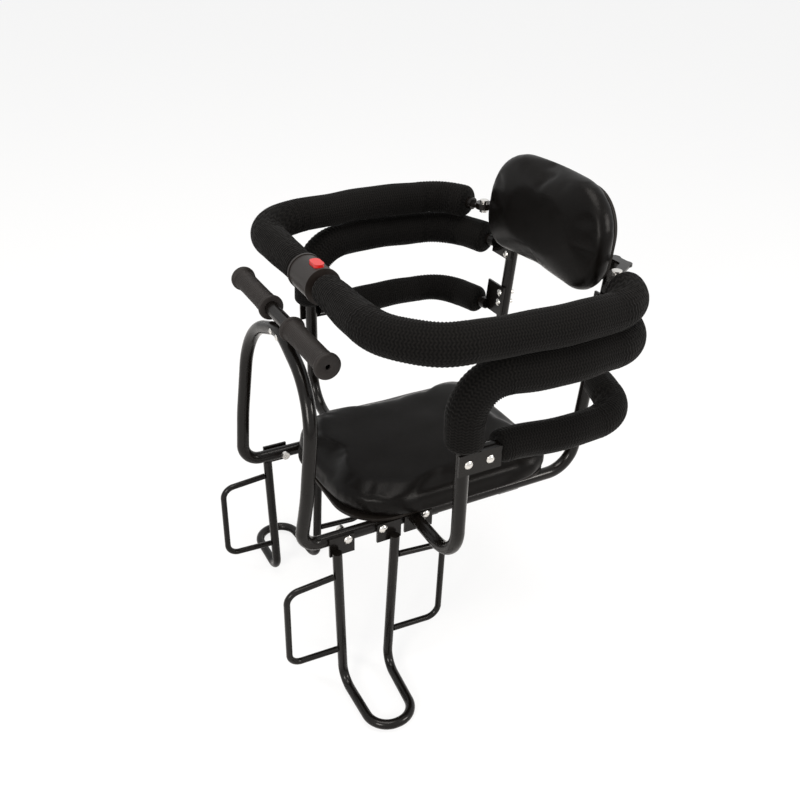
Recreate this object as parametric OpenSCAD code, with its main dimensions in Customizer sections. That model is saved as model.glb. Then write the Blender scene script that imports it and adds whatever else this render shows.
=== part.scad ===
// Rear child bike seat: bent-tube frame on a rack plate, padded seat and back,
// padded side bars, a padded ring in two hinged halves and two foot rests.
// Millimetres. Origin: centre of the rack bolt pattern, on the underside of the
// cross bars. The child faces -Y, the child's left is +X, +Z is up.

/* [Tubes] */
// Radius of the main frame tubes
tube_r = 8; // [7:0.5:9]
// Wall of the main frame tubes
wall = 1.5; // [1.2:0.1:2]
// Radius of the leg tubes
leg_r = 6; // [5:0.5:7]
// Radius of the leg guard rods
rod_r = 4; // [3:0.5:5]

/* [Rails and uprights] */
// Half the distance between the two rails and between the uprights
rail_half = 99; // [94:1:104]
// Front end of the rails, forward of the seat's own zero line
rail_front = 48; // [42:1:54]
// Distance back to the corner where the rails turn up
rail_back = 289; // [275:1:300]
// Bend radius at that corner
rail_bend = 38; // [30:1:50]
// Top of the uprights above the rail axis
upright_top = 287; // [270:1:300]
// Lean of the uprights and the back, degrees
back_lean = 5; // [0:0.5:10]

/* [Front arch and handle] */
// Forward corner of the arch below the handle
arch_front = 95; // [80:1:100]
// Bend radius of the two bottom corners
arch_bend = 22; // [18:1:26]
// Half width of the arch at its widest
arch_half = 106.5; // [100:0.5:112]
// Height of the arch's top above the rail axis
arch_top = 228; // [215:0.5:240]
// Lean of the arch, degrees
arch_lean = 6; // [0:0.1:10]
// Half length of the handle bar
bar_half = 126; // [110:1:140]
// Length of a rubber grip
grip_l = 99; // [90:1:100]
// Radius of a grip at its middle
grip_r = 12.5; // [11:0.5:14]
// Radius of a grip's end flanges
flange_r = 15; // [13:0.5:17]

/* [Cushions] */
// Half width of the seat cushion
seat_half = 122; // [115:1:130]
// Front edge of the seat cushion, forward of the zero line
seat_front = 36; // [30:1:46]
// Back edge of the seat cushion
seat_back = 262; // [250:1:268]
// Thickness of the seat cushion
seat_t = 33; // [28:1:40]
// Radius of the front corners
seat_cr = 78; // [55:1:90]
// Thickness of the seat board
board_t = 4; // [3:0.5:6]
// How far the back cushion stands out past the uprights' axes
back_over = 20; // [10:1:26]
// Lower edge of the back cushion above the rail axis
back_low = 243; // [240:1:262]
// Height of the back cushion
back_h = 135; // [120:1:145]
// Thickness of the back cushion
back_t = 36; // [30:1:42]
// Radius of the two upper corners of the back cushion
back_cr = 68; // [50:1:85]

/* [Side bars and ring] */
// Radius of the foam pads on the ring and the arms
pad_r = 22; // [18:0.5:22]
// Radius of the foam pads on the hip bars
hip_pad_r = 19; // [16:0.5:21]
// Height of the ring above the rail axis
ring_z = 285; // [284:0.5:292]
// Height of the arm tubes above the rail axis
arm_z = 240; // [234:0.5:240]
// Height of the hip bars above the rail axis
hip_z = 148; // [142:1:156]
// Half width of the ring at the sides
ring_half = 218; // [210:1:230]
// Half width of the arm tubes at their widest
arm_half = 221; // [210:1:230]
// Front of the ring, forward of the zero line
ring_front = 28; // [22:1:34]
// Half distance between the two hinge bolts
pivot_half = 140; // [134:1:146]
// Radius of the connector in the middle of the ring
conn_r = 20.5; // [18:0.5:22]
// Half length of the connector
conn_half = 26; // [22:1:30]

/* [Legs] */
// Thickness of the plates that bolt to the rails
plate_t = 3; // [2:0.5:4]
// Front leg, forward of the zero line
leg_front = 56; // [50:1:60]
// Rear leg, behind the zero line
leg_rear = 20; // [14:1:26]
// Depth of the foot rests below the rail axis
foot_z = 214; // [180:1:240]
// Distance of the foot rests' ends from the middle
foot_x = 211; // [195:1:220]
// Radius of the foot rests' round ends
foot_r = 27.2; // [24:0.2:30]

/* [Rack plate] */
// Front cross bar, behind the zero line
bar_y1 = 75; // [72:1:90]
// Rear cross bar, behind the zero line
bar_y2 = 195; // [185:1:215]
// Half the hole spacing across
hole_x = 45; // [30:1:60]
// Radius of the rack bolt holes
hole_r = 3.3; // [2.6:0.1:4.3]
// Thickness of the cross bars
bar_t = 4; // [3:0.5:5]

/* [Hidden] */
// Gap left between pieces that touch on the real seat
gap = 0.3;
back_half = rail_half + back_over;
// Gap between a foam pad and the tube inside it
pad_gap = 0.2;
// Radius of the bolts and of the running bores round them
bolt_r = 3;
bore_r = 3.06;
mount_y = (bar_y1 + bar_y2) / 2;
bar_low = -tube_r - gap - bar_t;
board_z = tube_r + gap;
seat_z = board_z + board_t + gap;
arch_y = -arch_front + arch_top * tan(arch_lean);
handle_y = arch_y + 2.4;
handle_z = arch_top + 2 * tube_r + 1;
arm_x = 204;
rivet_z = hip_z - 4;
arm_y = 51;
plate_x = rail_half + tube_r + gap;
leg_x = plate_x + plate_t + leg_r - 0.6;
pivot_y = rail_back - 5;
foot_y1 = 6 - leg_front;
foot_y2 = foot_y1 + 2 * foot_r + 0.2;

// Everything is drawn from the rail axis and then moved to the rack bolts.
module on_rack() translate([0, -mount_y, -bar_low]) children();
module both() {
  children();
  mirror([1, 0, 0]) children();
}

// Unit vector, and the turn between two directions.
function unit(v) = v / norm(v);
function turn(a, b) = acos(max(-1, min(1, a * b)));
function corner_len(p, i, r) =
  (i == 0 || i == len(p) - 1) ? 0 :
  r[i] * tan(turn(unit(p[i] - p[i - 1]), unit(p[i + 1] - p[i])) / 2);

// Angles that turn the axes onto x, y and z.
function angles(x, y, z) =
  x[2] > 0.99999 ? [atan2(-y[0], y[1]), -90, 0] :
  x[2] < -0.99999 ? [atan2(y[0], y[1]), 90, 0] :
  [atan2(y[2], z[2]), -asin(x[2]), atan2(x[1], x[0])];

// Cylinder from a to b.
module stick(a, b, r) {
  v = b - a;
  translate(a)
    rotate([0, acos(v[2] / norm(v)), atan2(v[1], v[0])])
      cylinder(h = norm(v), r = r, $fn = 48);
}

// One bend of a tube: the arc that rounds corner b.
module bend(a, b, c, big, r) {
  d1 = unit(b - a);
  d2 = unit(c - b);
  t = turn(d1, d2);
  n = unit(d2 - (d1 * d2) * d1);
  start = b - d1 * big * tan(t / 2);
  translate(start + n * big)
    rotate(angles(-n, d1, cross(-n, d1)))
      rotate_extrude(angle = t, $fn = 96)
        translate([big, 0]) circle(r, $fn = 48);
}

// A solid bent bar through the points p, with bend radius r[i] at point i.
// The straights are a hair thinner than the bends and run a little into them.
lap = 0.5;
hair = 0.05;
module route(p, r, rad, from = 0, to = 0) {
  last = len(p) - 1;
  for (i = [0:last - 1]) {
    d = unit(p[i + 1] - p[i]);
    a = p[i] + d * (corner_len(p, i, r) - (i == 0 ? from : lap));
    b = p[i + 1] - d * (corner_len(p, i + 1, r) - (i == last - 1 ? to : lap));
    stick(a, b, rad - hair);
  }
  for (i = [1:last - 1])
    bend(p[i - 1], p[i], p[i + 1], r[i], rad);
}

// A hollow bent tube, open at both ends.
module pipe(p, r, rad, t) difference() {
  route(p, r, rad);
  route(p, r, rad - t, 1, 1);
}

// A foam sleeve on the same route.
module sleeve(p, r, rad, inner, cut_a, cut_b) difference() {
  route(p, r, rad, -cut_a, -cut_b);
  route(p, r, inner, 1 - cut_a, 1 - cut_b);
}

// Flat outline with its own radius at the lower and the upper pair of corners.
module outline_plan(half, low, high, r_low, r_high) {
  translate([-half, low + r_low]) square([2 * half, high - low - r_low - r_high]);
  translate([r_low - half, low]) square([2 * (half - r_low), r_low + 1]);
  translate([r_high - half, high - r_high - 1]) square([2 * (half - r_high), r_high + 1]);
  for (s = [-1, 1]) {
    translate([s * (half - r_low), low + r_low]) circle(r_low, $fn = 96);
    translate([s * (half - r_high), high - r_high]) circle(r_high, $fn = 96);
  }
}

// A cushion: four round corners with a full round edge, drawn tight.
module pillow(half, low, high, t, r_low, r_high) {
  e = t / 2;
  hull() for (s = [-1, 1]) {
    translate([s * (half - r_low), low + r_low, e])
      rotate_extrude($fn = 32) translate([r_low - e, 0]) circle(e, $fn = 16);
    translate([s * (half - r_high), high - r_high, e])
      rotate_extrude($fn = 32) translate([r_high - e, 0]) circle(e, $fn = 16);
  }
}

// Local frame of the back: y is 0 on the uprights' axis, z runs up them.
module on_back()
  translate([0, rail_back, 0]) rotate([-back_lean, 0, 0]) children();

// A dome-headed bolt from its head at a towards b.
module dome_bolt(a, b, r, head) {
  stick(a, b, r);
  v = unit(b - a);
  translate(a)
    rotate([0, acos(v[2]), atan2(v[1], v[0])])
      intersection() {
        translate([0, 0, head * 0.8]) sphere(head * 1.28, $fn = 48);
        translate([0, 0, -head * 0.5]) cylinder(h = head * 0.5, r = head, $fn = 48);
      }
}

// Places along the tubes.
function side_pts() = [[rail_half, -rail_front + gap, 0],
  [rail_half, rail_back, 0],
  [rail_half, rail_back + upright_top * tan(back_lean), upright_top]];
function arch_pt(x, z) = [x, -arch_front + z * tan(arch_lean), z];
function arch_pts() = [[rail_half, -rail_front, 0], [rail_half, -arch_front, 0],
  arch_pt(arch_half, 70), arch_pt(arch_half - 5.3, arch_top - 34),
  arch_pt(0, arch_top + 4.2), arch_pt(5.3 - arch_half, arch_top - 34),
  arch_pt(-arch_half, 70), [-rail_half, -arch_front, 0], [-rail_half, -rail_front, 0]];
arch_rs = [0, arch_bend, 160, 86, 62, 86, 160, arch_bend, 0];
function ring_pts() = [[conn_half + 1, -ring_front, ring_z],
  [ring_half - 16, -ring_front, ring_z], [ring_half + 1, 150, ring_z],
  [ring_half - 9, 257, ring_z], [pivot_half, pivot_y, ring_z]];
ring_rs = [0, 82, 400, 60, 0];
function arm_pts() = [[plate_x + plate_t + gap, arm_y, 2], [arm_x, arm_y, 2],
  [arm_x, arm_y, arm_z], [arm_half, 150, arm_z], [arm_half - 10, 262, arm_z],
  [rail_half + 23, 295, arm_z]];
arm_rs = [0, 46, 46, 300, 66, 0];
function hip_pts() = [[arm_x, 63, hip_z], [arm_x, 102, hip_z], [arm_x + 9, 180, hip_z],
  [arm_x + 3, 263, hip_z], [rail_half + 21, 287, hip_z]];
hip_rs = [0, 150, 200, 60, 0];
function leg_pts() = [[leg_x, -leg_front, -9], [leg_x, foot_y1, -foot_z],
  [foot_x, foot_y1, -foot_z], [foot_x, foot_y2, -foot_z],
  [leg_x, foot_y2 + 8, -foot_z], [leg_x, leg_rear, -9]];
leg_rs = [0, 22, foot_r, foot_r, 22, 0];

bolt_y = [-39, 7];

module seat_cushion()
  color([0.1, 0.09, 0.085]) on_rack() translate([0, 0, seat_z])
    pillow(seat_half, -seat_front, seat_back, seat_t, seat_cr, 52);

module seat_board()
  color([0.25, 0.2, 0.15]) on_rack() translate([0, 0, board_z])
    linear_extrude(board_t)
      outline_plan(seat_half - 13, 4 - seat_front, seat_back - 6, 60, 40);

module back_cushion()
  color([0.1, 0.09, 0.085]) on_rack() on_back()
    translate([0, -tube_r - 2 * gap - board_t, 0]) rotate([90, 0, 0])
      pillow(back_half, back_low, back_low + back_h, back_t, 44, back_cr);

module back_board()
  color([0.25, 0.2, 0.15]) on_rack() on_back()
    translate([0, -tube_r - gap, 0]) rotate([90, 0, 0])
      linear_extrude(board_t)
        outline_plan(back_half - 14, back_low + 11, back_low + back_h - 12, 32, 54);

module side_frame()
  difference() {
    pipe(side_pts(), [0, rail_bend, 0], tube_r, wall);
    for (y = bolt_y)
      stick([rail_half - 20, y, 0], [rail_half + 20, y, 0], bolt_r + 0.1);
    on_back() for (z = [157, 171, 228, 241])
      stick([rail_half, -20, z], [rail_half, 20, z], bolt_r + 0.1);
  }
module side_frame_left() color([0.05, 0.05, 0.05]) on_rack() side_frame();
module side_frame_right() color([0.05, 0.05, 0.05]) on_rack() mirror([1, 0, 0]) side_frame();

// The arch's ends are necked down and slide into the rails.
module front_arch()
  color([0.05, 0.05, 0.05]) on_rack()
    difference() {
      union() {
        route(arch_pts(), arch_rs, tube_r);
        both() stick([rail_half, -arch_front + arch_bend + 4, 0],
          [rail_half, 18, 0], tube_r - wall - 0.1);
      }
      both() for (y = bolt_y)
        stick([rail_half - 20, y, 0], [rail_half + 20, y, 0], bolt_r + 0.1);
      for (x = [-1, 1])
        stick([x * 9, arch_y - 30, arch_top - 1], [x * 9, arch_y + 30, arch_top - 1], 2.1);
    }

// The bar lies across the arch's top, and a tab behind it takes the two screws.
module handle_bar()
  color([0.05, 0.05, 0.05]) on_rack()
    difference() {
      union() {
        stick([-bar_half, handle_y, handle_z], [bar_half, handle_y, handle_z], tube_r);
        translate([-17, arch_y + tube_r + gap, arch_top - 8])
          cube([34, 4, handle_z - arch_top + 8]);
      }
      stick([-bar_half - 1, handle_y, handle_z], [bar_half + 1, handle_y, handle_z],
        tube_r - wall);
      for (x = [-1, 1])
        stick([x * 9, arch_y - 30, arch_top - 1], [x * 9, arch_y + 30, arch_top - 1], 2.1);
    }

module grip() {
  a = bar_half + 3 - grip_l;
  b = bar_half + 3;
  difference() {
    union() {
      stick([a, handle_y, handle_z], [b, handle_y, handle_z], grip_r);
      stick([a, handle_y, handle_z], [a + 4, handle_y, handle_z], flange_r);
      stick([b - 5, handle_y, handle_z], [b, handle_y, handle_z], flange_r);
    }
    stick([a - 1, handle_y, handle_z], [bar_half + 0.3, handle_y, handle_z], tube_r + 0.1);
    stick([a, handle_y, handle_z], [b + 1, handle_y, handle_z], 3);
  }
}
module grip_left() color([0.16, 0.15, 0.14]) on_rack() grip();
module grip_right() color([0.16, 0.15, 0.14]) on_rack() mirror([1, 0, 0]) grip();

module handle_screws()
  color([0.75, 0.74, 0.72]) on_rack()
    for (x = [-1, 1])
      dome_bolt([x * 9, arch_y - tube_r - 0.1, arch_top - 1],
        [x * 9, arch_y + tube_r + 2, arch_top - 1], 2, 3.6);

module cross_bar(y)
  on_rack() translate([0, y, bar_low])
    linear_extrude(bar_t)
      difference() {
        translate([1 - rail_half, -15]) square([2 * rail_half - 2, 30]);
        for (x = [-1, 1]) translate([x * hole_x, 0]) circle(hole_r, $fn = 48);
      }
module cross_bar_front() color([0.07, 0.07, 0.07]) cross_bar(bar_y1);
module cross_bar_rear() color([0.07, 0.07, 0.07]) cross_bar(bar_y2);

// Leg loop with the flat plate that bolts to the outside of the rail.
module leg_frame() {
  x0 = plate_x;
  difference() {
    union() {
      route(leg_pts(), leg_rs, leg_r);
      for (y = [-leg_front - 7, bolt_y[1] - 8])
        translate([x0, y, -18]) cube([plate_t, 32, 25.9]);
    }
    for (y = bolt_y) stick([x0 - 5, y, 0], [x0 + 5, y, 0], bolt_r + 0.1);
  }
}
module leg_frame_left() color([0.05, 0.05, 0.05]) on_rack() leg_frame();
module leg_frame_right() color([0.05, 0.05, 0.05]) on_rack() mirror([1, 0, 0]) leg_frame();

function leg_y(top, low, z) = top + (low - top) * (-9 - z) / (foot_z - 9);
module guard_front() {
  t = leg_y(-leg_front, foot_y1, -44) - leg_r - 0.3;
  b = leg_y(-leg_front, foot_y1, -162) - leg_r - 0.3;
  route([[leg_x, t, -44], [leg_x, -121, -49], [leg_x, -121, -159], [leg_x, b, -162]],
    [0, 16, 16, 0], rod_r);
}
module guard_rear() {
  low = foot_y2 + 8;
  t = leg_y(leg_rear, low, -40) + leg_r + 0.3;
  b = leg_y(leg_rear, low, -162) + leg_r + 0.3;
  route([[leg_x, t, -40], [leg_x, 88, -46], [leg_x, 86, -164], [leg_x, b, -160]],
    [0, 16, 16, 0], rod_r);
}
module leg_guard_front_left() color([0.05, 0.05, 0.05]) on_rack() guard_front();
module leg_guard_front_right() color([0.05, 0.05, 0.05]) on_rack() mirror([1, 0, 0]) guard_front();
module leg_guard_rear_left() color([0.05, 0.05, 0.05]) on_rack() guard_rear();
module leg_guard_rear_right() color([0.05, 0.05, 0.05]) on_rack() mirror([1, 0, 0]) guard_rear();

module rail_bolts()
  color([0.75, 0.74, 0.72]) on_rack() both() for (y = bolt_y)
    dome_bolt([plate_x + plate_t + 0.1, y, 0], [rail_half - tube_r - 5, y, 0], bolt_r, 5.5);

module rail_nuts()
  color([0.75, 0.74, 0.72]) on_rack() both() for (y = bolt_y)
    difference() {
      stick([rail_half - tube_r - 0.1, y, 0], [rail_half - tube_r - 5, y, 0], 5.2);
      stick([rail_half, y, 0], [rail_half - 30, y, 0], bore_r);
    }

module arm_tube() {
  p = arm_pts();
  difference() {
    union() {
      route(p, arm_rs, tube_r);
      on_back() translate([rail_half - 9, -tube_r - gap - 3, 222]) cube([41, 3, 25]);
    }
    on_back() for (z = [228, 241])
      stick([rail_half, -20, z], [rail_half, 0, z], bolt_r + 0.1);
    stick([arm_x + 2, arm_y, rivet_z], [arm_x + 20, arm_y, rivet_z], 2.6);
  }
}
module arm_tube_left() color([0.05, 0.05, 0.05]) on_rack() arm_tube();
module arm_tube_right() color([0.05, 0.05, 0.05]) on_rack() mirror([1, 0, 0]) arm_tube();

// Only the route above the bracket is sleeved.
module arm_pad() {
  p = arm_pts();
  q = [[arm_x, arm_y, hip_z + 10], p[2], p[3], p[4], p[5]];
  sleeve(q, [0, 46, 300, 66, 0], pad_r, tube_r + pad_gap, 0, 12);
}
module arm_pad_left() color([0.11, 0.1, 0.1]) on_rack() arm_pad();
module arm_pad_right() color([0.11, 0.1, 0.1]) on_rack() mirror([1, 0, 0]) arm_pad();

module hip_bar() {
  difference() {
    union() {
      route(hip_pts(), hip_rs, tube_r);
      on_back() translate([rail_half - 9, -tube_r - gap - 3, hip_z - 9])
        cube([39, 3, 42]);
    }
    on_back() for (z = [157, 171])
      stick([rail_half, -20, z], [rail_half, 0, z], bolt_r + 0.1);
    stick([arm_x + 2, arm_y + 27, rivet_z], [arm_x + 20, arm_y + 27, rivet_z], 2.6);
  }
}
module hip_bar_left() color([0.05, 0.05, 0.05]) on_rack() hip_bar();
module hip_bar_right() color([0.05, 0.05, 0.05]) on_rack() mirror([1, 0, 0]) hip_bar();

module hip_pad() sleeve(hip_pts(), hip_rs, hip_pad_r, tube_r + pad_gap, 33, 12);
module hip_pad_left() color([0.11, 0.1, 0.1]) on_rack() hip_pad();
module hip_pad_right() color([0.11, 0.1, 0.1]) on_rack() mirror([1, 0, 0]) hip_pad();

// Plate that joins the hip bar to the arm tube, on the outside of both.
module arm_bracket() {
  x0 = arm_x + tube_r + 1.6;
  difference() {
    translate([x0, arm_y - 12, rivet_z - 13]) cube([plate_t, 53, 26]);
    for (y = [arm_y, arm_y + 27]) stick([x0 - 5, y, rivet_z], [x0 + 5, y, rivet_z], 2.6);
  }
}
module arm_bracket_left() color([0.05, 0.05, 0.05]) on_rack() arm_bracket();
module arm_bracket_right() color([0.05, 0.05, 0.05]) on_rack() mirror([1, 0, 0]) arm_bracket();

module bracket_rivets()
  color([0.75, 0.74, 0.72]) on_rack() both() for (y = [arm_y, arm_y + 27])
    dome_bolt([arm_x + tube_r + 1.7 + plate_t, y, rivet_z], [arm_x + 4, y, rivet_z], 2.5, 5);

module base_plate() {
  x0 = plate_x;
  difference() {
    translate([x0, arm_y - 15, -15]) cube([plate_t, 38, 22.9]);
    stick([x0 - 5, arm_y + 14, 3], [x0 + 5, arm_y + 14, 3], 2.6);
  }
}
module base_plate_left() color([0.05, 0.05, 0.05]) on_rack() base_plate();
module base_plate_right() color([0.05, 0.05, 0.05]) on_rack() mirror([1, 0, 0]) base_plate();

module base_screws()
  color([0.75, 0.74, 0.72]) on_rack() both()
    dome_bolt([plate_x + plate_t + 0.1, arm_y + 14, 3], [plate_x, arm_y + 14, 3], 2.5, 5);

module upright_bolts()
  color([0.75, 0.74, 0.72]) on_rack() both() on_back() for (z = [157, 171, 228, 241])
    dome_bolt([rail_half, -tube_r - gap - 3.1, z], [rail_half, tube_r + 4, z], bolt_r, 5);

// One half of the ring: tube, then a flat eye round the hinge bolt.
module ring_tube() {
  p = ring_pts();
  e = p[4];
  d = unit(p[3] - e);
  q = [p[0] - [14, 0, 0], p[1], p[2], p[3], e + d * 18];
  difference() {
    union() {
      route(q, ring_rs, tube_r);
      translate(e) rotate([0, 0, atan2(d[1], d[0])]) translate([0, 0, -2.5])
        linear_extrude(5) {
          circle(11, $fn = 64);
          translate([0, -7]) square([26, 14]);
        }
    }
    translate(e - [0, 0, 5]) cylinder(h = 10, r = bore_r, $fn = 48);
  }
}
module ring_tube_left() color([0.05, 0.05, 0.05]) on_rack() ring_tube();

// The right half ends in front of the connector's mouth.
module ring_tube_right()
  color([0.05, 0.05, 0.05]) on_rack() mirror([1, 0, 0])
    difference() {
      ring_tube();
      translate([0, -ring_front - 20, ring_z - 20]) cube([conn_half + 1, 40, 40]);
      translate([conn_half, -ring_front - 9, ring_z - 1.9]) cube([10, 18, 3.8]);
    }

module ring_pad() sleeve(ring_pts(), ring_rs, pad_r, tube_r + pad_gap, 0, 26);
module ring_pad_left() color([0.11, 0.1, 0.1]) on_rack() ring_pad();
module ring_pad_right() color([0.11, 0.1, 0.1]) on_rack() mirror([1, 0, 0]) ring_pad();

module button_plan(l, w) {
  square([l - w, w], center = true);
  for (s = [-1, 1]) translate([s * (l - w) / 2, 0]) circle(w / 2, $fn = 48);
}

// Round housing: bore for the left tube, slot for the tongue, pocket for the button.
module ring_connector()
  color([0.17, 0.15, 0.14]) on_rack() translate([0, -ring_front, ring_z])
    difference() {
      union() {
        stick([-conn_half, 0, 0], [conn_half, 0, 0], conn_r);
        stick([-conn_half, 0, 0], [3 - conn_half, 0, 0], conn_r + 1);
        stick([conn_half - 3, 0, 0], [conn_half, 0, 0], conn_r + 1);
      }
      stick([12.8, 0, 0], [conn_half + 1, 0, 0], tube_r + 0.1);
      translate([-conn_half - 1, -17.2, -2]) cube([23, 34.4, 4]);
      translate([9, 0, tube_r + 2]) linear_extrude(20) button_plan(22.8, 13.1);
    }

module ring_tongue()
  color([0.7, 0.69, 0.67]) on_rack() translate([-conn_half - 6, -ring_front, ring_z])
    translate([0, -8, -1.6]) cube([24, 16, 3.2]);

// Push button, 3 mm of travel down.
module red_button()
  color([0.75, 0.08, 0.07]) on_rack()
    translate([9, -ring_front, ring_z + tube_r + 5.2])
      linear_extrude(conn_r - tube_r - 2) button_plan(22, 12.3);

module hinge_plate() {
  u = [rail_half, rail_back + upright_top * tan(back_lean) + 0.3];
  v = [pivot_half, pivot_y] - u;
  translate([u[0], u[1], ring_z + 2.5 + gap])
    linear_extrude(3)
      difference() {
        union() {
          circle(tube_r - 0.2, $fn = 48);
          translate([0, -6]) square([21, 12]);
          translate([21, 0]) circle(7.5, $fn = 48);
          translate([21, 0]) rotate(atan2(v[1], v[0] - 21)) translate([0, -6])
            square([norm(v - [21, 0]), 12]);
          translate(v) circle(11, $fn = 64);
        }
        translate(v) circle(bore_r, $fn = 48);
      }
}
module hinge_plate_left() color([0.05, 0.05, 0.05]) on_rack() hinge_plate();
module hinge_plate_right() color([0.05, 0.05, 0.05]) on_rack() mirror([1, 0, 0]) hinge_plate();

module hinge_bolts()
  color([0.75, 0.74, 0.72]) on_rack() both()
    translate([pivot_half, pivot_y, ring_z]) {
      cylinder(h = 6, r = 3, $fn = 48);
      translate([0, 0, -7.5]) cylinder(h = 8, r = 3, $fn = 48);
      translate([0, 0, -7.5]) cylinder(h = 4.6, r = 5.6, $fn = 6);
      translate([0, 0, 5.9]) cylinder(h = 3.4, r = 6, $fn = 48);
    }

seat_cushion();
seat_board();
back_cushion();
back_board();
side_frame_left();
side_frame_right();
front_arch();
handle_bar();
grip_left();
grip_right();
handle_screws();
cross_bar_front();
cross_bar_rear();
leg_frame_left();
leg_frame_right();
leg_guard_front_left();
leg_guard_front_right();
leg_guard_rear_left();
leg_guard_rear_right();
rail_bolts();
rail_nuts();
arm_tube_left();
arm_tube_right();
arm_pad_left();
arm_pad_right();
arm_bracket_left();
arm_bracket_right();
bracket_rivets();
base_plate_left();
base_plate_right();
base_screws();
hip_bar_left();
hip_bar_right();
hip_pad_left();
hip_pad_right();
upright_bolts();
ring_tube_left();
ring_tube_right();
ring_pad_left();
ring_pad_right();
ring_connector();
ring_tongue();
red_button();
hinge_plate_left();
hinge_plate_right();
hinge_bolts();
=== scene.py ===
import math

import bmesh
import bpy
import numpy
from mathutils import Matrix, Vector, noise


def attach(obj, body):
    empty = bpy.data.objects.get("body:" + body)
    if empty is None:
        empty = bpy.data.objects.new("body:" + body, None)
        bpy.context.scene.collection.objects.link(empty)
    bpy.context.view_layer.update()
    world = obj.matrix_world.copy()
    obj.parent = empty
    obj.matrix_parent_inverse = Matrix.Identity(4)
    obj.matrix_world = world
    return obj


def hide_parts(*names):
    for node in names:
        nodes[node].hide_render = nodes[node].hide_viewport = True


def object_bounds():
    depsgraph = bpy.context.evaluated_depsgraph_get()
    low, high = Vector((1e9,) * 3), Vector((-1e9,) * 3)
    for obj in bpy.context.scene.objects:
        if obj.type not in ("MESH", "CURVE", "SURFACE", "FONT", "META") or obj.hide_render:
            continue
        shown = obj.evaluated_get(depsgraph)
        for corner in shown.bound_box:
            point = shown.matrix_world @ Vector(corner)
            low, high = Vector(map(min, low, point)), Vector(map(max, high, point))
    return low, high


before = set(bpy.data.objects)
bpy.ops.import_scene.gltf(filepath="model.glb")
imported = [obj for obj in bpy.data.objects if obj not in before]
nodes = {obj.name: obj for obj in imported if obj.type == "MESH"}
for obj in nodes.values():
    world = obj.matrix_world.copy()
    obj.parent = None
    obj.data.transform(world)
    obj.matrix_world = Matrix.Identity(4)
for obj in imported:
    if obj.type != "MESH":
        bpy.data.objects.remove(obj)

cad_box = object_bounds()


# Camera: the photograph's view, from the child's left and a little in front,
# looking down on the seat. A point of the rails is at the same place in both.
turn, tilt, roll = math.radians(61.46), math.radians(30.09), math.radians(1.50)
away = Vector((math.sin(turn) * math.cos(tilt), -math.cos(turn) * math.cos(tilt), math.sin(tilt)))
level = Vector((math.cos(turn), math.sin(turn), 0))
upward = away.cross(level)
side = level * math.cos(roll) + upward * math.sin(roll)
top = upward * math.cos(roll) - level * math.sin(roll)
camera = bpy.data.objects.new("camera", bpy.data.cameras.new("camera"))
camera.data.sensor_fit = "HORIZONTAL"
camera.data.sensor_width = 36
camera.data.lens = 40.78
camera.data.clip_end = 30
camera.matrix_world = Matrix((side, top, away)).transposed().to_4x4()
camera.location = (0.87154, -0.52415, 0.68827)
bpy.context.collection.objects.link(camera)
bpy.context.scene.camera = camera


# Studio: a plain pale floor just under the foot rests, soft boxes above and
# beside the seat, and an even pale room. The camera sees white behind it.
def linear(code):
    """Turns an sRGB hex colour to the linear values that shaders take."""
    parts = [int(code[i:i + 2], 16) / 255 for i in (1, 3, 5)]
    parts = [c / 12.92 if c < 0.04045 else ((c + 0.055) / 1.055) ** 2.4 for c in parts]
    return (*parts, 1)


def add(tree, kind, settings=None, **links):
    """Adds a shader node, sets what it is given and joins its inputs."""
    made = tree.nodes.new(kind)
    for name, value in (settings or {}).items():
        setattr(made, name, value)
    for name, value in links.items():
        key = name.replace("_", " ")
        socket = made.inputs[int(key[3:])] if key.startswith("at ") else made.inputs[key]
        if isinstance(value, bpy.types.NodeSocket):
            tree.links.new(value, socket)
        else:
            socket.default_value = value
    return made


def blank(name):
    """A material with a bare tree: its shader and its output."""
    made = bpy.data.materials.new(name)
    made.use_nodes = True
    made.node_tree.nodes.clear()
    return made, made.node_tree


def made_piece(name, bm):
    """Turns a finished bmesh into a linked object of the same name."""
    mesh = bpy.data.meshes.new(name)
    bm.to_mesh(mesh)
    bm.free()
    piece = bpy.data.objects.new(name, mesh)
    bpy.context.collection.objects.link(piece)
    return piece


world = bpy.data.worlds.new("pale_room")
world.use_nodes = True
world.node_tree.nodes.clear()
tree = world.node_tree
rays = add(tree, "ShaderNodeLightPath")
direct = add(tree, "ShaderNodeMath", {"operation": "MAXIMUM"},
             at_0=rays.outputs["Is Camera Ray"], at_1=rays.outputs["Is Transmission Ray"])
seen = add(tree, "ShaderNodeMath", {"operation": "MAXIMUM"}, at_0=direct.outputs[0],
           at_1=rays.outputs["Is Glossy Ray"])
room = add(tree, "ShaderNodeBackground", Color=linear("#f4f4f4"), Strength=0.55)
white = add(tree, "ShaderNodeBackground", Color=(1, 1, 1, 1), Strength=1.0)
mix = add(tree, "ShaderNodeMixShader", at_0=seen.outputs[0], at_1=room.outputs[0],
          at_2=white.outputs[0])
add(tree, "ShaderNodeOutputWorld", Surface=mix.outputs[0])
bpy.context.scene.world = world
bpy.context.scene.view_settings.view_transform = "Standard"

floor_stuff, tree = blank("matt_paper_floor")
paper = add(tree, "ShaderNodeBsdfDiffuse", Color=linear("#fafafa"), Roughness=1.0)
rays = add(tree, "ShaderNodeLightPath")
glow = add(tree, "ShaderNodeEmission", Color=(1, 1, 1, 1), Strength=1.0)
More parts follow.
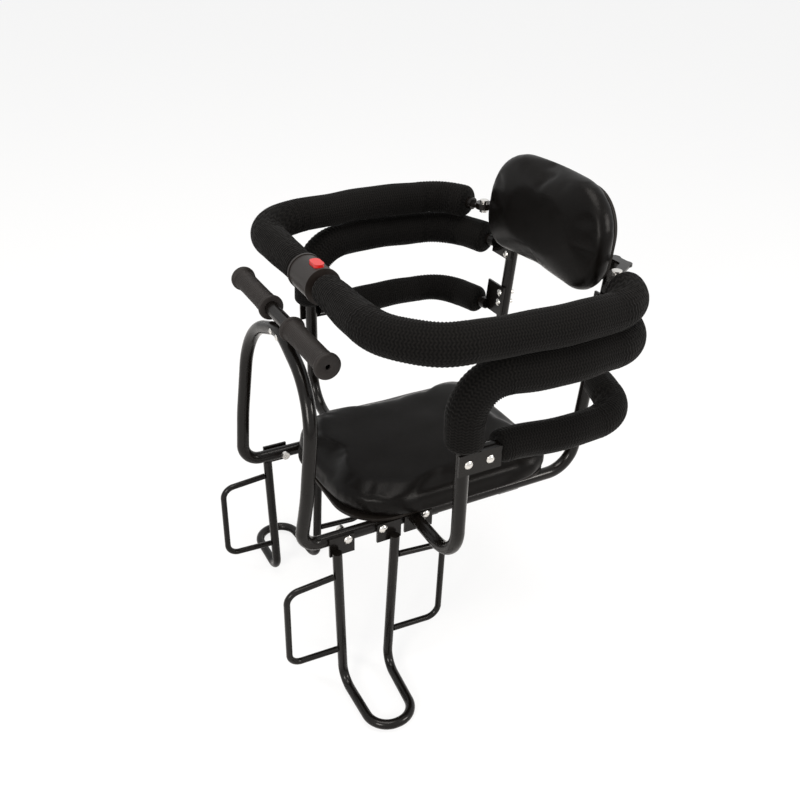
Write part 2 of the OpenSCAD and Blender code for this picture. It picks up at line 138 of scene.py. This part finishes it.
# The camera sees the paper mostly glowing, so it comes out white and still takes a shade.
glowing = add(tree, "ShaderNodeMath", {"operation": "MULTIPLY"},
              at_0=rays.outputs["Is Camera Ray"], at_1=0.82)
mix = add(tree, "ShaderNodeMixShader", at_0=glowing.outputs[0], at_1=paper.outputs[0],
          at_2=glow.outputs[0])
add(tree, "ShaderNodeOutputMaterial", Surface=mix.outputs[0])

floor_reach, floor_gap = 60, 0.004
bm = bmesh.new()
bmesh.ops.create_grid(bm, x_segments=1, y_segments=1, size=floor_reach)
bmesh.ops.translate(bm, verts=bm.verts, vec=(0, 0, cad_box[0][2] - floor_gap))
floor = made_piece("floor", bm)
floor.data.materials.append(floor_stuff)

for name, place, aim, width, power in (
        ("soft_box_above", (0.2, -0.2, 1.9), (0, 0, 0.1), 1.1, 24),
        ("soft_box_camera_side", (1.3, -1.7, 0.9), (0, 0, 0.1), 0.7, 26),
        ("soft_box_back", (1.5, 1.3, 1.1), (0, 0, 0.15), 0.6, 22)):
    lamp = bpy.data.lights.new(name, "AREA")
    lamp.shape = "SQUARE"
    lamp.size = width
    lamp.energy = power
    lamp.color = (1.0, 0.95, 0.9)
    holder = bpy.data.objects.new(name, lamp)
    holder.location = place
    holder.rotation_euler = (Vector(place) - Vector(aim)).to_track_quat("Z", "Y").to_euler()
    bpy.context.collection.objects.link(holder)


# Bent steel tubes of the frame, arch, legs, arm and hip bars and the ring, with
# their plates. Mild steel tube, welded, then powder coated: a glossy near-black
# skin with a faint orange peel, its tone and gloss wandering slowly at random.
def dress(names, material):
    """Gives frame nodes one material in place of what they came with."""
    for name in names:
        nodes[name].data.materials.clear()
        nodes[name].data.materials.append(material)


coat, tree = blank("black_powder_coat_on_steel")
place = add(tree, "ShaderNodeTexCoord")
peel = add(tree, "ShaderNodeTexNoise", Vector=place.outputs["Object"], Scale=900, Detail=1.0)
haze = add(tree, "ShaderNodeTexNoise", Vector=place.outputs["Object"], Scale=28, Detail=4.0)
shine = add(tree, "ShaderNodeMapRange", Value=haze.outputs[0], at_1=0.3, at_2=0.7, at_3=0.2,
            at_4=0.34)
tint = add(tree, "ShaderNodeMix", {"data_type": "RGBA"}, at_0=haze.outputs[0],
           at_6=linear("#080706"), at_7=linear("#110e0c"))
bump = add(tree, "ShaderNodeBump", Strength=0.08, Distance=0.0002, Height=peel.outputs[0])
skin = add(tree, "ShaderNodeBsdfPrincipled", Base_Color=tint.outputs[2],
           Roughness=shine.outputs[0], IOR=1.5, Normal=bump.outputs[0], Coat_Weight=0.2,
           Coat_Roughness=0.12, Specular_IOR_Level=0.12)
add(tree, "ShaderNodeOutputMaterial", Surface=skin.outputs[0])
in_pairs = ("side_frame", "leg_frame", "leg_guard_front", "leg_guard_rear", "arm_tube",
            "arm_bracket", "base_plate", "hip_bar", "ring_tube", "hinge_plate")
dress(["front_arch", "handle_bar", "cross_bar_front", "cross_bar_rear"], coat)
dress([name + hand for name in in_pairs for hand in ("_left", "_right")], coat)


# Seat cushion and back cushion. Each is a moulded foam slab on a board, wrapped
# in black imitation leather that is drawn tight round a full, rolled edge. The
# leather is folded under the board, so no seam shows from above or in front.
def on_rails(x, y, z):
    """A place in millimetres from the rails' axis, in the frame's metres."""
    return Vector((x, y - 135.0, z + 12.3)) / 1000


skin_square = 0.0045
most_swell = 0.006
unevenness = 0.0006


def foam_slab(name, half, low, high, thick, near, far, edge):
    """A slab lying flat, from low to high in y, with the corner radii near at its
    low end and far at its high end, and a rim rounded by edge top and bottom."""
    bm = bmesh.new()
    bmesh.ops.create_cube(bm, size=1)
    bmesh.ops.scale(bm, verts=bm.verts, vec=(2 * half, high - low, thick))
    bmesh.ops.translate(bm, verts=bm.verts, vec=(0, (low + high) / 2, thick / 2))
    for sign, radius in ((-1, near), (1, far)):
        upright = [e for e in bm.edges
                   if abs(e.verts[0].co.z - e.verts[1].co.z) > thick / 2
                   and (e.verts[0].co.y - (low + high) / 2) * sign > (high - low) * 0.49]
        bmesh.ops.bevel(bm, geom=upright, offset=radius, affect="EDGES", segments=14,
                        profile=0.5, material=-1)
    rim = [e for e in bm.edges
           if len(e.link_faces) == 2
           and any(abs(f.normal.z) > 0.9 for f in e.link_faces)
           and any(abs(f.normal.z) < 0.1 for f in e.link_faces)]
    bmesh.ops.bevel(bm, geom=rim, offset=edge, affect="EDGES", segments=7, profile=0.5,
                    material=-1)
    bmesh.ops.recalc_face_normals(bm, faces=bm.faces)
    return made_piece(name, bm)


def applied(piece):
    """Turns a piece's modifiers into its plain mesh."""
    graph = bpy.context.evaluated_depsgraph_get()
    made = bpy.data.meshes.new_from_object(piece.evaluated_get(graph))
    made.name = piece.name
    piece.modifiers.clear()
    old = piece.data
    piece.data = made
    bpy.data.meshes.remove(old)


def even_skin(piece, size):
    """Remeshes a closed piece to even squares and takes the ripples off."""
    remesh = piece.modifiers.new("even", "REMESH")
    remesh.mode = "VOXEL"
    remesh.voxel_size = size
    smooth = piece.modifiers.new("smooth", "SMOOTH")
    smooth.factor = 0.5
    smooth.iterations = 4
    applied(piece)


def stuff(piece, held, most):
    """Blows the piece up like stuffing under cloth. The held points stay, and no
    point moves further than most."""
    last_frame = 20
    before = [v.co.copy() for v in piece.data.vertices]
    group = piece.vertex_groups.new(name="held")
    group.add([i for i, spot in enumerate(before) if held(spot)], 1.0, "REPLACE")
    cloth = piece.modifiers.new("stuffing", "CLOTH")
    cloth.settings.quality = 5
    cloth.settings.mass = 0.3
    cloth.settings.use_pressure = True
    cloth.settings.uniform_pressure_force = 4.0
    cloth.settings.vertex_group_mass = "held"
    cloth.settings.effector_weights.gravity = 0
    cloth.point_cache.frame_start = 1
    cloth.point_cache.frame_end = last_frame
    for step in range(1, last_frame + 1):
        bpy.context.scene.frame_set(step)
    graph = bpy.context.evaluated_depsgraph_get()
    after = [v.co.copy() for v in piece.evaluated_get(graph).data.vertices]
    piece.modifiers.remove(cloth)
    bpy.context.scene.frame_set(1)
    for v, old, new in zip(piece.data.vertices, before, after):
        move = new - old
        v.co = old + move * min(1.0, most / max(move.length, 1e-9))
    piece.vertex_groups.clear()


def soft_finish(piece, depth):
    """One smooth subdivision and a slow unevenness, as drawn leather has."""
    waves_per_metre = 22
    divide = piece.modifiers.new("divide", "SUBSURF")
    divide.levels = divide.render_levels = 1
    smooth = piece.modifiers.new("smooth", "SMOOTH")
    smooth.factor = 0.5
    smooth.iterations = 3
    applied(piece)
    for v in piece.data.vertices:
        v.co += v.normal * depth * noise.noise(v.co * waves_per_metre)
    piece.data.shade_smooth()


# PVC-coated cloth with a pressed fine grain: satin, with broad soft highlights.
leather, tree = blank("black_imitation_leather")
place = add(tree, "ShaderNodeTexCoord")
grain = add(tree, "ShaderNodeTexVoronoi", {"feature": "SMOOTH_F1"}, Vector=place.outputs["Object"],
            Scale=900, Smoothness=0.6)
crease = add(tree, "ShaderNodeTexNoise", Vector=place.outputs["Object"], Scale=60, Detail=5.0,
             Roughness=0.6)
worn = add(tree, "ShaderNodeTexNoise", Vector=place.outputs["Object"], Scale=9, Detail=3.0)
tone = add(tree, "ShaderNodeMix", {"data_type": "RGBA"}, at_0=worn.outputs[0],
           at_6=linear("#060504"), at_7=linear("#0b0908"))
satin = add(tree, "ShaderNodeMapRange", Value=crease.outputs[0], at_1=0.25, at_2=0.75, at_3=0.3,
            at_4=0.4)
fine = add(tree, "ShaderNodeBump", Strength=0.25, Distance=0.0003, Height=grain.outputs[0])
slow = add(tree, "ShaderNodeBump", Strength=0.15, Distance=0.0008, Height=crease.outputs[0],
           Normal=fine.outputs[0])
skin = add(tree, "ShaderNodeBsdfPrincipled", Base_Color=tone.outputs[2],
           Roughness=satin.outputs[0], IOR=1.5, Normal=slow.outputs[0], Specular_IOR_Level=0.1)
add(tree, "ShaderNodeOutputMaterial", Surface=skin.outputs[0])

seat = foam_slab("seat_cushion_cover", half=0.1195, low=-0.0335, high=0.2595, thick=0.0305,
                 near=0.076, far=0.050, edge=0.0145)
seat.data.transform(Matrix.Translation(on_rails(0, 0, 12.7)))
even_skin(seat, skin_square)
folded_under = on_rails(0, 0, 15.2).z
stuff(seat, lambda spot: spot.z < folded_under, most_swell)
soft_finish(seat, unevenness)
seat.data.materials.append(leather)
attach(seat, "frame")
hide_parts("seat_cushion")

lean = math.radians(5)
root = on_rails(0, 289, 0)
rest = foam_slab("back_cushion_cover", half=0.1165, low=0.2455, high=0.3755, thick=0.033,
                 near=0.043, far=0.066, edge=0.0155)
upright = Matrix.Rotation(math.radians(90), 4, "X")
before_posts = Matrix.Translation((0, -0.0128, 0))
leaning = Matrix.Rotation(-lean, 4, "X")
rest.data.transform(Matrix.Translation(root) @ leaning @ before_posts @ upright)
even_skin(rest, skin_square)
folded_back = -0.0155
stuff(rest, lambda spot: (leaning.transposed() @ (spot - root)).y > folded_back, most_swell)
soft_finish(rest, unevenness)
rest.data.materials.append(leather)
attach(rest, "frame")
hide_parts("back_cushion")


# Boards under the seat and behind the back. Plywood, sawn to the cushion's
# outline and painted black, with the plies faintly showing through the paint.
board, tree = blank("black_painted_plywood")
place = add(tree, "ShaderNodeTexCoord")
stretch = add(tree, "ShaderNodeMapping", Vector=place.outputs["Object"], Scale=(1, 14, 1))
figure = add(tree, "ShaderNodeTexNoise", Vector=stretch.outputs[0], Scale=24, Detail=6.0)
plies = add(tree, "ShaderNodeTexWave", {"bands_direction": "Z"}, Vector=place.outputs["Object"],
            Scale=220, Distortion=1.2)
tone = add(tree, "ShaderNodeMix", {"data_type": "RGBA"}, at_0=figure.outputs[0],
           at_6=linear("#0e0c0a"), at_7=linear("#1a1511"))
relief = add(tree, "ShaderNodeBump", Strength=0.3, Distance=0.0003, Height=figure.outputs[0])
sawn = add(tree, "ShaderNodeBump", Strength=0.2, Distance=0.0002, Height=plies.outputs[0],
           Normal=relief.outputs[0])
skin = add(tree, "ShaderNodeBsdfPrincipled", Base_Color=tone.outputs[2], Roughness=0.6,
           Normal=sawn.outputs[0], Specular_IOR_Level=0.2)
add(tree, "ShaderNodeOutputMaterial", Surface=skin.outputs[0])
dress(["seat_board", "back_board"], board)


# Foam sleeves on the ring, the arm tubes and the hip bars. Closed-cell foam tube
# inside a stretched black knit: chevron ribs all over, closer and round like
# hoops where the tube bends, gathered in at each end.
def bent_line(corners, bends, step):
    """Even points along straight runs joined by arcs."""
    points = [corners[0]]
    for i in range(1, len(corners)):
        here = corners[i]
        if i < len(corners) - 1:
            into = (here - corners[i - 1]).normalized()
            onward = (corners[i + 1] - here).normalized()
            angle = into.angle(onward)
            cut = bends[i] * math.tan(angle / 2)
            start = here - into * cut
            inward = (onward - into * into.dot(onward)).normalized()
            centre = start + inward * bends[i]
            parts = max(2, int(bends[i] * angle / (step / 2)))
            points.append(start)
            for k in range(1, parts + 1):
                swing = Matrix.Rotation(angle * k / parts, 3, into.cross(inward))
                points.append(centre + swing @ (start - centre))
        else:
            points.append(here)
    reach = [0.0]
    for a, b in zip(points, points[1:]):
        reach.append(reach[-1] + (b - a).length)
    count = int(reach[-1] / step)
    line, k = [], 0
    for n in range(count + 1):
        want = reach[-1] * n / count
        while k < len(reach) - 2 and reach[k + 1] < want:
            k += 1
        share = (want - reach[k]) / max(reach[k + 1] - reach[k], 1e-9)
        line.append(points[k].lerp(points[k + 1], share))
    return line


def drawn_sleeve(name, line, step, girth, around, up):
    """Rolls a grid into a tube round the line. girth(done, left, bent, turned,
    inward) is its radius; the map runs once round and by the metre along."""
    span = 5
    turned = numpy.linspace(0, 2 * math.pi, around + 1)
    whole = step * (len(line) - 1)
    places = []
    for i, centre in enumerate(line):
        ahead = (line[min(i + 1, len(line) - 1)] - line[max(i - 1, 0)]).normalized()
        fore, back, bent, middle = ahead, ahead, 0.0, Vector((0, 0, 0))
        if span < i < len(line) - span - 1:
            back = (centre - line[i - span]).normalized()
            fore = (line[i + span] - centre).normalized()
            bent = back.angle(fore) / (span * step)
        if bent > 0.5:
            middle = (fore - back).normalized()
        up = (up - ahead * up.dot(ahead)).normalized()
        out = ahead.cross(up)
        spokes = numpy.outer(numpy.cos(turned), up) + numpy.outer(numpy.sin(turned), out)
        reach = girth(i * step, whole - i * step, bent, turned, spokes @ numpy.array(middle))
        places.append(numpy.array(centre) + spokes * reach[:, None])
    bm = bmesh.new()
    bm.loops.layers.uv.new("knit")
    bmesh.ops.create_grid(bm, x_segments=around, y_segments=len(line) - 1, size=1, calc_uvs=True)
    for v, spot in zip(bm.verts, numpy.concatenate(places)):
        v.co = spot
    bmesh.ops.remove_doubles(bm, verts=bm.verts, dist=1e-6)
    bmesh.ops.holes_fill(bm, edges=bm.edges, sides=around)
    bmesh.ops.recalc_face_normals(bm, faces=bm.faces)
    for face in bm.faces:
        face.smooth = len(face.verts) == 4
    piece = made_piece(name, bm)
    chart = numpy.zeros(2 * len(piece.data.loops), "f")
    piece.data.uv_layers["knit"].data.foreach_get("uv", chart)
    chart[1::2] *= whole
    piece.data.uv_layers["knit"].data.foreach_set("uv", chart)
    return piece


# Coarse polyester knit over foam: matt, with a faint sheen. Its colour is painted
# shade in the valleys and a painted highlight on the ribs. 36 wales round a 44 mm
# pad and a row each 3.4 mm; the real stitch is finer, and is drawn this coarse so that it shows.
wales_round, rows_per_metre = 36.0, 294.0
knit, tree = blank("black_knitted_sleeve")
wrap = add(tree, "ShaderNodeUVMap", {"uv_map": "knit"})
parts = add(tree, "ShaderNodeSeparateXYZ", Vector=wrap.outputs[0])
wale = add(tree, "ShaderNodeMath", {"operation": "MULTIPLY"}, at_0=parts.outputs[0],
           at_1=wales_round)
zigzag = add(tree, "ShaderNodeMath", {"operation": "PINGPONG"}, at_0=wale.outputs[0], at_1=1.0)
lift = add(tree, "ShaderNodeMath", {"operation": "MULTIPLY"}, at_0=zigzag.outputs[0], at_1=0.6)
row = add(tree, "ShaderNodeMath", {"operation": "MULTIPLY"}, at_0=parts.outputs[1],
          at_1=rows_per_metre)
shifted = add(tree, "ShaderNodeMath", {"operation": "ADD"}, at_0=row.outputs[0],
              at_1=lift.outputs[0])
whole_turn = add(tree, "ShaderNodeMath", {"operation": "MULTIPLY"}, at_0=shifted.outputs[0],
                 at_1=2 * math.pi)
rib = add(tree, "ShaderNodeMath", {"operation": "SINE"}, at_0=whole_turn.outputs[0])
wale_turn = add(tree, "ShaderNodeMath", {"operation": "MULTIPLY"}, at_0=wale.outputs[0],
                at_1=math.pi)
groove = add(tree, "ShaderNodeMath", {"operation": "SINE"}, at_0=wale_turn.outputs[0])
deep = add(tree, "ShaderNodeMath", {"operation": "ABSOLUTE"}, at_0=groove.outputs[0])
both = add(tree, "ShaderNodeMath", {"operation": "MULTIPLY_ADD"}, at_0=deep.outputs[0], at_1=0.9,
           at_2=rib.outputs[0])
height = add(tree, "ShaderNodeMapRange", Value=both.outputs[0], at_1=-1.0, at_2=1.9, at_3=0.0,
             at_4=1.0)
place = add(tree, "ShaderNodeTexCoord")
fluff = add(tree, "ShaderNodeTexNoise", Vector=place.outputs["Object"], Scale=1400, Detail=2.0)
# Painted shade and highlight: the knit's colour runs from near black in the valleys to paler on
# the ribs, following the rib height.
tone = add(tree, "ShaderNodeMix", {"data_type": "RGBA"}, at_0=height.outputs[0],
           at_6=linear("#020202"), at_7=linear("#141312"))
weave = add(tree, "ShaderNodeBump", Strength=0.6, Distance=0.0009, Height=height.outputs[0])
fuzz = add(tree, "ShaderNodeBump", Strength=0.2, Distance=0.0002, Height=fluff.outputs[0],
           Normal=weave.outputs[0])
skin = add(tree, "ShaderNodeBsdfPrincipled", Base_Color=tone.outputs[2], Roughness=0.75,
           Sheen_Weight=0.03, Sheen_Roughness=0.4, Normal=fuzz.outputs[0],
           Specular_IOR_Level=0.05)
add(tree, "ShaderNodeOutputMaterial", Surface=skin.outputs[0])


def gathered(full, bore, thin_from=0.0, thin=0.0):
    """Radius of a sleeve that rounds in at both ends, with hoops at bends and by
    the connector, a slow unevenness, a sewn ridge, and a thinner start if told."""
    end_length, hoop_pitch, hoop_depth = 0.010, 0.0042, 0.00048
    ridge_height, ridge_width = 0.0005, 0.09

    def girth(done, left, bent, turned, inward):
        radius = full
        close = min(1.0, bent * 0.075) * (0.7 + 0.9 * numpy.maximum(0.0, inward))
        if thin:
            radius -= thin * max(0.0, 1 - done / thin_from) ** 1.6
            close = numpy.maximum(close, 0.8 * max(0.0, 1 - done / 0.16))
        end = min(done, left)
        if end < end_length:
            closed = math.sqrt(max(0.0, 1 - (1 - end / end_length) ** 2))
            radius = bore + (radius - bore) * closed
        wander = 0.0009 * numpy.sin(done * 75 + 1.3 * numpy.cos(turned + full * 90))
        hoops = hoop_depth * close * numpy.sin(2 * math.pi * (done + wander) / hoop_pitch)
        slow = 0.0005 * numpy.sin(done * 41 + full * 300 + 1.7 * numpy.sin(turned)) \
            + 0.0003 * numpy.sin(done * 97 + 2 * numpy.cos(turned))
        ridge = ridge_height * numpy.exp(-((turned - math.pi) / ridge_width) ** 2)
        return radius + hoops + slow + ridge
    return girth


down = Vector((0, 0, -1))
ring_path = [on_rails(*p) for p in ((27, -28, 285), (202, -28, 285), (219, 150, 285),
                                    (209, 257, 285), (163.9, 273.7, 285))]
arm_path = [on_rails(*p) for p in ((204, 51, 158), (204, 51, 240), (221, 150, 240),
                                   (211, 262, 240), (133.4, 291, 240))]
hip_path = [on_rails(*p) for p in ((204, 96, 148), (204, 102, 148), (213, 180, 148),
                                   (207, 263, 148), (131.5, 283.8, 148))]
bore, thick_pad, thin_pad = 0.0086, 0.0216, 0.0187
ring_girth = gathered(thick_pad, bore, thin_from=0.13, thin=0.0042)
sleeves = (("ring", ring_path, (0, 0.082, 0.4, 0.06, 0), ring_girth),
           ("arm", arm_path, (0, 0.046, 0.3, 0.066, 0), gathered(thick_pad, bore)),
           ("hip", hip_path, (0, 0.15, 0.2, 0.06, 0), gathered(thin_pad, bore)))
step = 0.001
squares_round = 60
for kind, path, bends, girth in sleeves:
    for hand, flip in (("left", 1), ("right", -1)):
        mirrored = [Vector((p.x * flip, p.y, p.z)) for p in path]
        line = bent_line(mirrored, bends, step)
        sleeve = drawn_sleeve(kind + "_sleeve_" + hand, line, step, girth, squares_round,
                              down if kind != "arm" else Vector((flip, 0, 0)))
        sleeve.data.materials.append(knit)
        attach(sleeve, "ring_" + hand if kind == "ring" else "frame")
        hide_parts(kind + "_pad_" + hand)


# Rubber grips on the handle bar. Moulded dark grey rubber, pushed on: a flange at
# each end, fine rings between, and a vent hole in the outer end.
def turned_part(name, profile, start, axis):
    """Spins a profile of (along, radius) pairs in millimetres round an axis."""
    bm = bmesh.new()
    ring = [bm.verts.new((r / 1000, 0, a / 1000)) for a, r in profile]
    chain = [bm.edges.new(pair) for pair in zip(ring, ring[1:])]
    bmesh.ops.spin(bm, geom=ring + chain, cent=(0, 0, 0), axis=(0, 0, 1), angle=2 * math.pi,
                   steps=64, use_merge=True)
    bmesh.ops.remove_doubles(bm, verts=bm.verts, dist=1e-6)
    bmesh.ops.recalc_face_normals(bm, faces=bm.faces)
    for face in bm.faces:
        face.smooth = True
    swing = Vector((0, 0, 1)).rotation_difference(Vector(axis)).to_matrix().to_4x4()
    bmesh.ops.transform(bm, matrix=Matrix.Translation(start) @ swing, verts=bm.verts)
    return made_piece(name, bm)


# Matt thermoplastic rubber, dark warm grey, slightly dusty, with a fine texture.
rubber, tree = blank("moulded_grip_rubber")
place = add(tree, "ShaderNodeTexCoord")
dust = add(tree, "ShaderNodeTexNoise", Vector=place.outputs["Object"], Scale=40, Detail=5.0)
mould = add(tree, "ShaderNodeTexNoise", Vector=place.outputs["Object"], Scale=2200, Detail=1.0)
tone = add(tree, "ShaderNodeMix", {"data_type": "RGBA"}, at_0=dust.outputs[0],
           at_6=linear("#161312"), at_7=linear("#221e1c"))
relief = add(tree, "ShaderNodeBump", Strength=0.25, Distance=0.0002, Height=mould.outputs[0])
skin = add(tree, "ShaderNodeBsdfPrincipled", Base_Color=tone.outputs[2], Roughness=0.6,
           Normal=relief.outputs[0], Specular_IOR_Level=0.25)
add(tree, "ShaderNodeOutputMaterial", Surface=skin.outputs[0])

profile = [(0, 8.3), (0, 13.6), (0.6, 14.6), (1.6, 15), (3.0, 15), (3.9, 14.6), (4.4, 13.4)]
at, last_ring, ring_pitch, groove_depth = 5.0, 91, 3.0, 0.7
while at < last_ring:
    crest = 12.4 if (at < 22 or at > 78) else 12.1
    profile += [(at, crest - groove_depth), (at + 0.5, crest), (at + 1.9, crest),
                (at + 2.4, crest - groove_depth)]
    at += ring_pitch
profile += [(92.6, 12.2), (93.4, 13.8), (94.4, 14.8), (95.6, 15), (98.0, 14.8), (98.9, 13.9),
            (99.2, 12.4), (99.2, 3.4), (98.8, 2.9), (96.4, 2.9)]
for hand, flip in (("left", 1), ("right", -1)):
    grip = turned_part("rubber_grip_" + hand, profile, on_rails(30 * flip, -68.6, 245),
                       (flip, 0, 0))
    grip.data.materials.append(rubber)
    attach(grip, "frame")
    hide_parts("grip_" + hand)


# Connector in the middle of the ring, with its push button and steel tongue.
# The housing is moulded satin plastic, a little waisted; the button is glossier
# red plastic, domed and oval; the tongue is dressed with the bolts below.
shell, tree = blank("moulded_brown_grey_plastic")
place = add(tree, "ShaderNodeTexCoord")
mould = add(tree, "ShaderNodeTexNoise", Vector=place.outputs["Object"], Scale=1500, Detail=2.0)
cloud = add(tree, "ShaderNodeTexNoise", Vector=place.outputs["Object"], Scale=30, Detail=3.0)
tone = add(tree, "ShaderNodeMix", {"data_type": "RGBA"}, at_0=cloud.outputs[0],
           at_6=linear("#161210"), at_7=linear("#1f1a17"))
relief = add(tree, "ShaderNodeBump", Strength=0.15, Distance=0.0002, Height=mould.outputs[0])
skin = add(tree, "ShaderNodeBsdfPrincipled", Base_Color=tone.outputs[2], Roughness=0.42,
           Normal=relief.outputs[0], Specular_IOR_Level=0.3)
add(tree, "ShaderNodeOutputMaterial", Surface=skin.outputs[0])
dress(["ring_connector"], shell)

red, tree = blank("red_button_plastic")
place = add(tree, "ShaderNodeTexCoord")
cloud = add(tree, "ShaderNodeTexNoise", Vector=place.outputs["Object"], Scale=120, Detail=3.0)
tone = add(tree, "ShaderNodeMix", {"data_type": "RGBA"}, at_0=cloud.outputs[0],
           at_6=linear("#b41512"), at_7=linear("#c81b16"))
skin = add(tree, "ShaderNodeBsdfPrincipled", Base_Color=tone.outputs[2], Roughness=0.3)
add(tree, "ShaderNodeOutputMaterial", Surface=skin.outputs[0])
dress(["red_button"], red)


# Bolts, nuts, screws and rivets, and the tongue. Steel, bright zinc plated: pale
# metal with a slight blue-grey haze.
zinc, tree = blank("bright_zinc_plate")
place = add(tree, "ShaderNodeTexCoord")
haze = add(tree, "ShaderNodeTexNoise", Vector=place.outputs["Object"], Scale=350, Detail=4.0)
shine = add(tree, "ShaderNodeMapRange", Value=haze.outputs[0], at_1=0.3, at_2=0.7, at_3=0.18,
            at_4=0.34)
tone = add(tree, "ShaderNodeMix", {"data_type": "RGBA"}, at_0=haze.outputs[0],
           at_6=linear("#c9c7c3"), at_7=linear("#dcdad6"))
skin = add(tree, "ShaderNodeBsdfPrincipled", Base_Color=tone.outputs[2], Metallic=1.0,
           Roughness=shine.outputs[0])
add(tree, "ShaderNodeOutputMaterial", Surface=skin.outputs[0])
dress(["ring_tongue", "rail_bolts", "rail_nuts", "bracket_rivets", "base_screws",
       "handle_screws", "upright_bolts", "hinge_bolts"], zinc)
